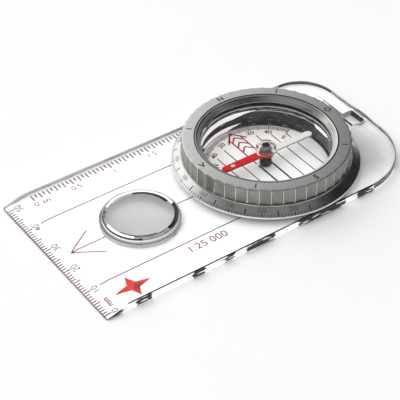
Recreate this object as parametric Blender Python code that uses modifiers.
"""Baseplate compass: a clear plate with a magnifier, a turning graduated housing and a free needle.

Metres, +Z up, +Y the direction of travel. The values named below are in millimetres and degrees.
Plan positions are given about the dial axis, and heights above the resting face.
"""

import math

import bmesh
import bpy
from mathutils import Matrix

MM = 0.001
NAME = "baseplate_compass"
GAP = 0.3
ROUND_STEPS = 96
LENS_STEPS = 64
SMALL_STEPS = 32
PIN_STEPS = 16
THROUGH = (-5.0, 8.0)

# Dial axis, with the row's origin under the middle of the whole object
AXIS_X = -0.2
AXIS_Y = -16.5

# Plate
PLATE_T = 2.6
PLATE_LEFT = -26.5
PLATE_RIGHT = 27.5
PLATE_FRONT = 71.0
PLATE_REAR = -37.5
FRONT_CORNER_R = 0.8
LEFT_CORNER_R = 20.2
RIGHT_CORNER_R = 11.5
TONGUE_X = 1.5
TONGUE_HALF = 6.5
TONGUE_OUT = 0.5
TONGUE_PARTS = 12
EDGE_BEVEL = 0.35
RAMP_LENGTH = 7.0
RAMP_EDGE = 0.45
RAMP_CUT = (40.0, 12.0, 6.0)

# Lanyard slot through the plate, and the shallow step in front of it
SLOT_LEFT = -1.8
SLOT_RIGHT = 4.6
SLOT_REAR = -36.0
SLOT_FRONT = -32.4
SLOT_CORNER_R = 0.7
STEP_FRONT = -28.6
STEP_Z = 1.3

# Magnifier
LENS_Y = 43.2
LENS_R = 11.1
LENS_BORE_R = LENS_R + GAP
LENS_LOW_Z = 0.2
LENS_RIM_Z = 3.6
LENS_LEDGE_R = 10.95
LENS_DOME_R = 9.9
LENS_DOME_Z = 3.75
LENS_TOP_Z = 4.7
DOME_PARTS = 8

# Capsule: a clear cup whose neck turns in the plate's hole
RUNNING_GAP = 0.08
NECK_R = 19.8
HOLE_R = NECK_R + RUNNING_GAP
WELL_R = 18.8
CUP_FOOT_R = 19.4
CUP_LOW_Z = 0.05
CUP_FLOOR_Z = 0.5
CUP_SHOULDER_Z = 0.85
CUP_LIP_R = 20.35
CUP_LIP_Z = (6.0, 6.9)
CUP_TOP_Z = 7.9
WINDOW_Z = (8.5, 9.3)
WINDOW_R = NECK_R - 0.1
SEAL_R = 19.35
SEAL_WIRE_R = 0.2

# Filler plug in the cup's side
PLUG_ANGLE = 60.0
PLUG_OUT = 19.3
PLUG_Z = 4.4
PLUG_R = 0.8
PLUG_HOLE_R = 0.95
PLUG_SPAN = (-0.35, 0.4)

# Printed floor and the needle's pivot
DISC_R = (1.3, 18.4)
DISC_Z = (0.6, 0.85)
BASE_R = 1.5
BASE_FOOT_R = 1.0
BASE_Z = (0.6, 3.6)
PIN_R = 0.3
PIN_Z = (3.7, 6.9)

# Clip ring that holds the cup in the plate from below
CLIP_BORE_R = 22.2
CLIP_BORE_Z = 0.95
CLIP_R = (19.7, 21.8)
CLIP_Z = (0.25, 0.7)

# Graduated ring, with the friction ring in a groove under it
RING_BORE_R = NECK_R + GAP
FLANGE_R = 27.1
FLANGE_LOW_Z = 3.3
FLANGE_RIM_Z = 3.95
FLANGE_TOP_Z = 5.7
CONE_TOP_R = 24.7
GROOVE_R = (24.3, 25.9)
GROOVE_Z = 4.1
FRICTION_R = (24.5, 25.7)
FRICTION_Z = (2.7, 3.95)
FRICTION_ROUND = 0.4

# Fluted grip, and the turned ring inside it that holds the window
GRIP_R = 24.35
GRIP_LOW_Z = 5.95
GRIP_TOP_Z = 11.15
GRIP_EDGE = (0.25, 0.3)
GRIP_BORE_R = 20.6
FLUTES = 46
FLUTE_DEPTH = 0.4
FLUTE_TURN = math.radians(-2.8)
POINTS_PER_FLUTE = 6
HOLDER_R = GRIP_BORE_R - GAP
HOLDER_LOW_Z = WINDOW_Z[1] + 0.1
HOLDER_TOP_Z = 11.0
HOLDER_INSIDE = ((18.75, HOLDER_LOW_Z), (18.9, 9.55), (19.4, 9.95))

# Needle
NEEDLE_ANGLE = -1.2
ARM_Z = (4.9, 5.5)
ARM_HALF_WIDTH = 1.25
ARM_TIP_HALF_WIDTH = 0.9 * ARM_HALF_WIDTH
TIP_PARTS = 8
NORTH_LENGTH = 15.1
SOUTH_LENGTH = 16.2
COLLAR_R = (1.85, 2.35)
COLLAR_DEPTH = 0.4
COLLAR_STEPS = 48
NORTH_START = 2.1
SOUTH_START = COLLAR_R[1] + 0.25
HUB_R = 2.95
HUB_LOW_Z = ARM_Z[1] + 0.15
HUB_TOP_Z = 8.1
HUB_SHELL = ((1.3, HUB_TOP_Z), (2.1, HUB_TOP_Z), (2.7, 7.8), (HUB_R, 7.2))
HUB_HOLLOW = ((2.1, HUB_LOW_Z), (2.1, 7.3), (1.3, 7.5))
MAGNET_R = (0.6, 1.75)
MAGNET_Z = (4.6, 5.9)
JEWEL_R = 0.7
JEWEL_Z = (7.0, 7.45)
CAP_R = 1.15
CAP_Z = (7.55, 8.2)


def clear_scene():
    for obj in list(bpy.data.objects):
        bpy.data.objects.remove(obj, do_unlink=True)


def new_collection(name):
    collection = bpy.data.collections.new(name)
    bpy.context.scene.collection.children.link(collection)
    return collection


def material(name, colour, roughness, metallic=0.0, alpha=1.0):
    made = bpy.data.materials.new(name)
    made.use_nodes = True
    shader = made.node_tree.nodes["Principled BSDF"]
    shader.inputs["Base Color"].default_value = (*colour, 1.0)
    shader.inputs["Roughness"].default_value = roughness
    shader.inputs["Metallic"].default_value = metallic
    shader.inputs["Alpha"].default_value = alpha
    made.diffuse_color = (*colour, alpha)
    return made


def empty(name, location, rotation=(0.0, 0.0, 0.0), parent=None):
    """A frame in millimetres and degrees."""
    made = bpy.data.objects.new(name, None)
    made.empty_display_size = 0.01
    parts.objects.link(made)
    made.parent = parent
    made.location = [value * MM for value in location]
    made.rotation_euler = [math.radians(value) for value in rotation]
    return made


def add_object(name, mesh, parent, surface):
    obj = bpy.data.objects.new(name, mesh)
    parts.objects.link(obj)
    obj.parent = parent
    mesh.materials.append(surface)
    return obj


def add_cutter(name, mesh, parent):
    obj = bpy.data.objects.new(name, mesh)
    cutters.objects.link(obj)
    obj.parent = parent
    obj.hide_render = True
    obj.display_type = "WIRE"
    return obj


def combine(obj, other, operation):
    modifier = obj.modifiers.new(operation.lower() + "_" + other.name, "BOOLEAN")
    modifier.operation = operation
    modifier.solver = "EXACT"
    modifier.object = other


def mesh_from(name, shape):
    mesh = bpy.data.meshes.new(name)
    shape.to_mesh(mesh)
    shape.free()
    return mesh


def lathe_mesh(name, profile, closed):
    """A profile in the XZ plane. Its outer side runs from top to bottom."""
    mesh = bpy.data.meshes.new(name)
    points = [(r * MM, 0.0, z * MM) for r, z in profile]
    edges = [(i, i + 1) for i in range(len(points) - 1)]
    if closed:
        edges.append((len(points) - 1, 0))
    mesh.from_pydata(points, edges, [])
    return mesh


def add_screw(obj, steps):
    screw = obj.modifiers.new("turn", "SCREW")
    screw.axis = "Z"
    screw.angle = math.tau
    screw.steps = steps
    screw.render_steps = steps
    screw.use_merge_vertices = True
    screw.merge_threshold = 0.000001
    screw.use_smooth_shade = True


def turned_ring(name, profile, parent, surface, steps=ROUND_STEPS):
    """A closed profile turned about the parent's Z axis."""
    obj = add_object(name, lathe_mesh(name, profile, True), parent, surface)
    add_screw(obj, steps)


def turned_solid(name, profile, parent, surface, steps=ROUND_STEPS):
    """A profile from the axis and back to it, turned about the parent's Z axis."""
    obj = add_object(name, lathe_mesh(name, profile, False), parent, surface)
    add_screw(obj, steps)
    return obj


def washer(radii, heights):
    """The profile of a plain flat ring."""
    inner, outer = radii
    low, high = heights
    return [(inner, high), (outer, high), (outer, low), (inner, low)]


def disc(radius, heights):
    """The profile of a plain solid disc."""
    low, high = heights
    return [(0.0, high), (radius, high), (radius, low), (0.0, low)]


def round_cutter(name, radius, heights, parent, steps=ROUND_STEPS):
    low, high = heights
    shape = bmesh.new()
    bmesh.ops.create_cone(
        shape,
        cap_ends=True,
        segments=steps,
        radius1=radius * MM,
        radius2=radius * MM,
        depth=(high - low) * MM,
        matrix=Matrix.Translation((0.0, 0.0, (high + low) / 2 * MM)),
    )
    return add_cutter(name, mesh_from(name, shape), parent)


def box_cutter(name, low, high, parent, corner=0.0):
    """A box, with its upright edges rounded when corner is set."""
    shape = bmesh.new()
    bmesh.ops.create_cube(shape, size=1.0)
    for vertex in shape.verts:
        for i in range(3):
            middle = (low[i] + high[i]) / 2
            vertex.co[i] = (middle + vertex.co[i] * (high[i] - low[i])) * MM
    if corner:
        upright = [e for e in shape.edges if e.verts[0].co.xy == e.verts[1].co.xy]
        bmesh.ops.bevel(
            shape, geom=upright, offset=corner * MM, segments=4, profile=0.5, affect="EDGES"
        )
    return add_cutter(name, mesh_from(name, shape), parent)


def arc(centre, radius, start, stop, count):
    """Points on an arc, angles in degrees."""
    points = []
    for i in range(count + 1):
        angle = math.radians(start + (stop - start) * i / count)
        points.append((centre[0] + radius * math.cos(angle), centre[1] + radius * math.sin(angle)))
    return points


def sheet(name, outline, low, thickness, parent, surface):
    """A flat piece: its outline's face at the height low, thickened upwards."""
    shape = bmesh.new()
    shape.faces.new([shape.verts.new((x * MM, y * MM, low * MM)) for x, y in outline])
    obj = add_object(name, mesh_from(name, shape), parent, surface)
    solid = obj.modifiers.new("thickness", "SOLIDIFY")
    solid.thickness = thickness * MM
    solid.offset = 1.0
    return obj


def plate_outline():
    """Anticlockwise from the front right corner, with a low swelling behind the lanyard slot."""
    front_left = (PLATE_LEFT + FRONT_CORNER_R, PLATE_FRONT - FRONT_CORNER_R)
    front_right = (PLATE_RIGHT - FRONT_CORNER_R, PLATE_FRONT - FRONT_CORNER_R)
    rear_left = (PLATE_LEFT + LEFT_CORNER_R, PLATE_REAR + LEFT_CORNER_R)
    rear_right = (PLATE_RIGHT - RIGHT_CORNER_R, PLATE_REAR + RIGHT_CORNER_R)
    points = arc(front_right, FRONT_CORNER_R, 0, 90, 3)
    points += arc(front_left, FRONT_CORNER_R, 90, 180, 3)
    points += arc(rear_left, LEFT_CORNER_R, 180, 270, 14)
    for i in range(1, TONGUE_PARTS):
        across = 2 * i / TONGUE_PARTS - 1
        swell = 0.5 + 0.5 * math.cos(math.pi * across)
        points.append((TONGUE_X + TONGUE_HALF * across, PLATE_REAR - TONGUE_OUT * swell))
    points += arc(rear_right, RIGHT_CORNER_R, 270, 360, 10)
    return points


def build_plate(surface):
    plate = sheet("baseplate", plate_outline(), 0.0, PLATE_T, plate_frame, surface)
    bevel = plate.modifiers.new("edges", "BEVEL")
    bevel.width = EDGE_BEVEL * MM
    bevel.segments = 2
    bevel.limit_method = "ANGLE"
    bevel.angle_limit = math.radians(50)
    width, length, height = RAMP_CUT
    cutters_of_plate = [
        box_cutter("ramp_cutter", (-width, 0, 0), (width, length, height), ramp_frame),
        round_cutter("dial_hole_cutter", HOLE_R, THROUGH, dial_axis),
        round_cutter("clip_bore_cutter", CLIP_BORE_R, (THROUGH[0], CLIP_BORE_Z), dial_axis),
        round_cutter("lens_bore_cutter", LENS_BORE_R, THROUGH, lens_frame, LENS_STEPS),
        box_cutter(
            "lanyard_slot_cutter",
            (SLOT_LEFT, SLOT_REAR, THROUGH[0]),
            (SLOT_RIGHT, SLOT_FRONT, THROUGH[1]),
            plate_frame,
            SLOT_CORNER_R,
        ),
        box_cutter(
            "slot_step_cutter",
            (SLOT_LEFT, SLOT_FRONT - SLOT_CORNER_R, STEP_Z),
            (SLOT_RIGHT, STEP_FRONT, THROUGH[1]),
            plate_frame,
        ),
    ]
    for cutter in cutters_of_plate:
        combine(plate, cutter, "DIFFERENCE")


def build_magnifier(surface):
    rise = LENS_TOP_Z - LENS_DOME_Z
    sphere_r = (LENS_DOME_R**2 + rise**2) / (2 * rise)
    profile = []
    for i in range(DOME_PARTS + 1):
        r = LENS_DOME_R * i / DOME_PARTS
        profile.append((r, LENS_TOP_Z - sphere_r + math.sqrt(sphere_r**2 - r**2)))
    profile += [(LENS_LEDGE_R, LENS_DOME_Z), (LENS_R, LENS_RIM_Z)]
    profile += [(LENS_R, LENS_LOW_Z), (0.0, LENS_LOW_Z)]
    turned_solid("magnifier_lens", profile, lens_frame, surface, LENS_STEPS)


def build_graduated_ring(surface):
    inner, outer = GROOVE_R
    profile = [
        (RING_BORE_R, FLANGE_TOP_Z),
        (CONE_TOP_R, FLANGE_TOP_Z),
        (FLANGE_R, FLANGE_RIM_Z),
        (FLANGE_R, FLANGE_LOW_Z),
        (outer, FLANGE_LOW_Z),
        (outer, GROOVE_Z),
        (inner, GROOVE_Z),
        (inner, FLANGE_LOW_Z),
        (RING_BORE_R, FLANGE_LOW_Z),
    ]
    turned_ring("graduated_ring", profile, dial_axis, surface)


def build_friction_ring(surface):
    inner, outer = FRICTION_R
    low, high = FRICTION_Z
    shoulder = low + FRICTION_ROUND / 2
    profile = [(inner, high), (outer, high), (outer, shoulder)]
    profile += [(outer - FRICTION_ROUND, low), (inner + FRICTION_ROUND, low), (inner, shoulder)]
    turned_ring("friction_ring", profile, dial_axis, surface)


def fluted_circle(shape, radius, z, depth):
    """A closed row of points whose radius dips by depth in the middle of each flute."""
    count = FLUTES * POINTS_PER_FLUTE
    row = []
    for j in range(count):
        dip = depth * math.sin(math.pi * (j % POINTS_PER_FLUTE) / POINTS_PER_FLUTE)
        angle = FLUTE_TURN + math.tau * j / count
        point = ((radius - dip) * math.cos(angle), (radius - dip) * math.sin(angle), z)
        row.append(shape.verts.new([value * MM for value in point]))
    return row


def build_grip(surface):
    """A ring with a fluted outer side, lofted between rows because a Screw can't flute."""
    edge_in, edge_down = GRIP_EDGE
    shape = bmesh.new()
    rows = [
        fluted_circle(shape, GRIP_R - edge_in, GRIP_TOP_Z, FLUTE_DEPTH),
        fluted_circle(shape, GRIP_R, GRIP_TOP_Z - edge_down, FLUTE_DEPTH),
        fluted_circle(shape, GRIP_R, GRIP_LOW_Z, FLUTE_DEPTH),
        fluted_circle(shape, GRIP_BORE_R, GRIP_LOW_Z, 0.0),
        fluted_circle(shape, GRIP_BORE_R, GRIP_TOP_Z, 0.0),
    ]
    for upper, lower in zip(rows, rows[1:] + rows[:1]):
        for j in range(len(upper)):
            k = (j + 1) % len(upper)
            shape.faces.new((upper[j], lower[j], lower[k], upper[k]))
    bmesh.ops.recalc_face_normals(shape, faces=shape.faces)
    grip = add_object("knurled_bezel", mesh_from("knurled_bezel", shape), dial_axis, surface)
    grip.data.shade_smooth()
    grip.data.set_sharp_from_angle(angle=math.radians(28))


def build_window(metal, clear, rubber):
    holder = [(HOLDER_R, HOLDER_TOP_Z), (HOLDER_R, HOLDER_LOW_Z), *HOLDER_INSIDE]
    turned_ring("window_retaining_ring", holder, dial_axis, metal)
    turned_solid("capsule_window", disc(WINDOW_R, WINDOW_Z), dial_axis, clear)
    centre = (SEAL_R, WINDOW_Z[0] - GAP)
    seal = arc(centre, SEAL_WIRE_R, 315, 0, 7)
    turned_ring("window_seal", seal, dial_axis, rubber, LENS_STEPS)


def build_capsule(clear, rubber):
    lip_low, lip_high = CUP_LIP_Z
    profile = [
        (0.0, CUP_FLOOR_Z),
        (WELL_R - GAP, CUP_FLOOR_Z),
        (WELL_R, CUP_FLOOR_Z + GAP),
        (WELL_R, CUP_TOP_Z),
        (NECK_R, CUP_TOP_Z),
        (NECK_R, lip_high),
        (CUP_LIP_R, lip_high),
        (CUP_LIP_R, lip_low),
        (NECK_R, lip_low),
        (NECK_R, CUP_SHOULDER_Z),
        (CUP_FOOT_R, CUP_SHOULDER_Z),
        (CUP_FOOT_R, CUP_LOW_Z),
        (0.0, CUP_LOW_Z),
    ]
    cup = turned_solid("capsule_body", profile, dial_axis, clear)
    hole = round_cutter("plug_hole_cutter", PLUG_HOLE_R, (-2.0, 2.0), plug_frame, PIN_STEPS)
    combine(cup, hole, "DIFFERENCE")
    turned_solid("filler_plug", disc(PLUG_R, PLUG_SPAN), plug_frame, rubber, PIN_STEPS)


def build_floor(white, dark, steel):
    turned_ring("orienting_disc", washer(DISC_R, DISC_Z), dial_axis, white)
    low, high = BASE_Z
    foot = low + 0.6
    base = [(0.0, high), (BASE_R - 0.7, high), (BASE_R, high - 0.7), (BASE_R, foot + 0.2)]
    base += [(BASE_FOOT_R, foot), (BASE_FOOT_R, low), (0.0, low)]
    turned_solid("pivot_base", base, dial_axis, dark, SMALL_STEPS)
    low, high = PIN_Z
    pin = [(0.0, high), (PIN_R / 3, high - 0.05), (PIN_R, high - 0.7), (PIN_R, low), (0.0, low)]
    turned_solid("pivot_pin", pin, dial_axis, steel, PIN_STEPS)


def build_clip(surface):
    turned_ring("housing_clip_ring", washer(CLIP_R, CLIP_Z), dial_axis, surface)


def arm(name, start, length, side, surface):
    """A flat arm to a rounded tip; side is 1 towards the front and -1 towards the rear."""
    tip = length - ARM_TIP_HALF_WIDTH
    outline = [(-ARM_HALF_WIDTH, start), (ARM_HALF_WIDTH, start)]
    outline += arc((0.0, tip), ARM_TIP_HALF_WIDTH, 0, 180, TIP_PARTS)
    low, high = ARM_Z
    outline = [(x * side, y * side) for x, y in outline]
    return sheet(name, outline, low, high - low, needle_axis, surface)


def build_needle(red, pale, clear, dark, ruby):
    north = arm("needle_north_arm", NORTH_START, NORTH_LENGTH, 1, red)
    ring = washer(COLLAR_R, (ARM_Z[0] - COLLAR_DEPTH, ARM_Z[1]))
    collar = add_cutter("collar_shape", lathe_mesh("collar_shape", ring, True), needle_axis)
    add_screw(collar, COLLAR_STEPS)
    combine(north, collar, "UNION")
    arm("needle_south_arm", SOUTH_START, SOUTH_LENGTH, -1, pale)
    hub = [*HUB_SHELL, (HUB_R, HUB_LOW_Z), *HUB_HOLLOW]
    turned_ring("needle_hub", hub, needle_axis, clear, SMALL_STEPS)
    turned_ring("needle_magnet", washer(MAGNET_R, MAGNET_Z), needle_axis, dark, SMALL_STEPS)
    turned_solid("jewel_bearing", disc(JEWEL_R, JEWEL_Z), needle_axis, ruby, PIN_STEPS)
    low, high = CAP_Z
    cap = [(0.0, high), (CAP_R - 0.35, high - 0.05), (CAP_R, high - 0.2), (CAP_R, low), (0.0, low)]
    turned_solid("jewel_cap", cap, needle_axis, dark, SMALL_STEPS)


clear_scene()
parts = new_collection(NAME)
cutters = new_collection("cutters")

plate_frame = empty("plate_frame", (AXIS_X, AXIS_Y, 0))
lens_frame = empty("lens_frame", (0, LENS_Y, 0), parent=plate_frame)
ramp_slope = math.degrees(math.atan2(PLATE_T - RAMP_EDGE, RAMP_LENGTH))
ramp_start = (0, PLATE_FRONT - RAMP_LENGTH, PLATE_T)
ramp_frame = empty("ramp_frame", ramp_start, (-ramp_slope, 0, 0), plate_frame)
dial_axis = empty("dial_axis", (0, 0, 0), parent=plate_frame)
plug_turn = math.radians(PLUG_ANGLE)
plug_place = (PLUG_OUT * math.cos(plug_turn), PLUG_OUT * math.sin(plug_turn), PLUG_Z)
plug_frame = empty("plug_frame", plug_place, (0, 90, PLUG_ANGLE), dial_axis)
needle_axis = empty("needle_axis", (0, 0, 0), (0, 0, NEEDLE_ANGLE), dial_axis)

acrylic = material("clear_acrylic", (0.93, 0.95, 0.95), 0.03, alpha=0.35)
lens_clear = material("lens_clear", (0.82, 0.83, 0.83), 0.02, alpha=0.45)
capsule_clear = material("capsule_clear", (0.92, 0.94, 0.93), 0.03, alpha=0.25)
window_clear = material("window_clear", (0.95, 0.96, 0.96), 0.02, alpha=0.15)
hub_clear = material("hub_clear", (0.9, 0.9, 0.9), 0.03, alpha=0.3)
clip_clear = material("clip_clear", (0.9, 0.9, 0.9), 0.1, alpha=0.5)
satin_metal = material("satin_metal", (0.55, 0.55, 0.54), 0.35, 1.0)
flange_metal = material("flange_metal", (0.52, 0.52, 0.51), 0.3, 1.0)
polished_metal = material("polished_metal", (0.7, 0.7, 0.69), 0.12, 1.0)
steel = material("steel", (0.6, 0.6, 0.6), 0.2, 1.0)
black_rubber = material("black_rubber", (0.02, 0.02, 0.02), 0.7)
plug_rubber = material("plug_rubber", (0.05, 0.05, 0.05), 0.6)
ring_nylon = material("ring_nylon", (0.03, 0.03, 0.03), 0.6)
floor_white = material("floor_white", (0.9, 0.9, 0.88), 0.5)
base_dark = material("base_dark", (0.05, 0.05, 0.05), 0.3)
magnet_dark = material("magnet_dark", (0.06, 0.07, 0.07), 0.35)
needle_red = material("needle_red", (0.75, 0.02, 0.02), 0.35)
needle_pale = material("needle_pale", (0.72, 0.74, 0.7), 0.4)
bearing_ruby = material("bearing_ruby", (0.6, 0.05, 0.1), 0.1)

build_plate(acrylic)
build_magnifier(lens_clear)
build_graduated_ring(flange_metal)
build_friction_ring(ring_nylon)
build_grip(satin_metal)
build_window(polished_metal, window_clear, black_rubber)
build_capsule(capsule_clear, plug_rubber)
build_floor(floor_white, base_dark, steel)
build_clip(clip_clear)
build_needle(needle_red, needle_pale, hub_clear, magnet_dark, bearing_ruby)
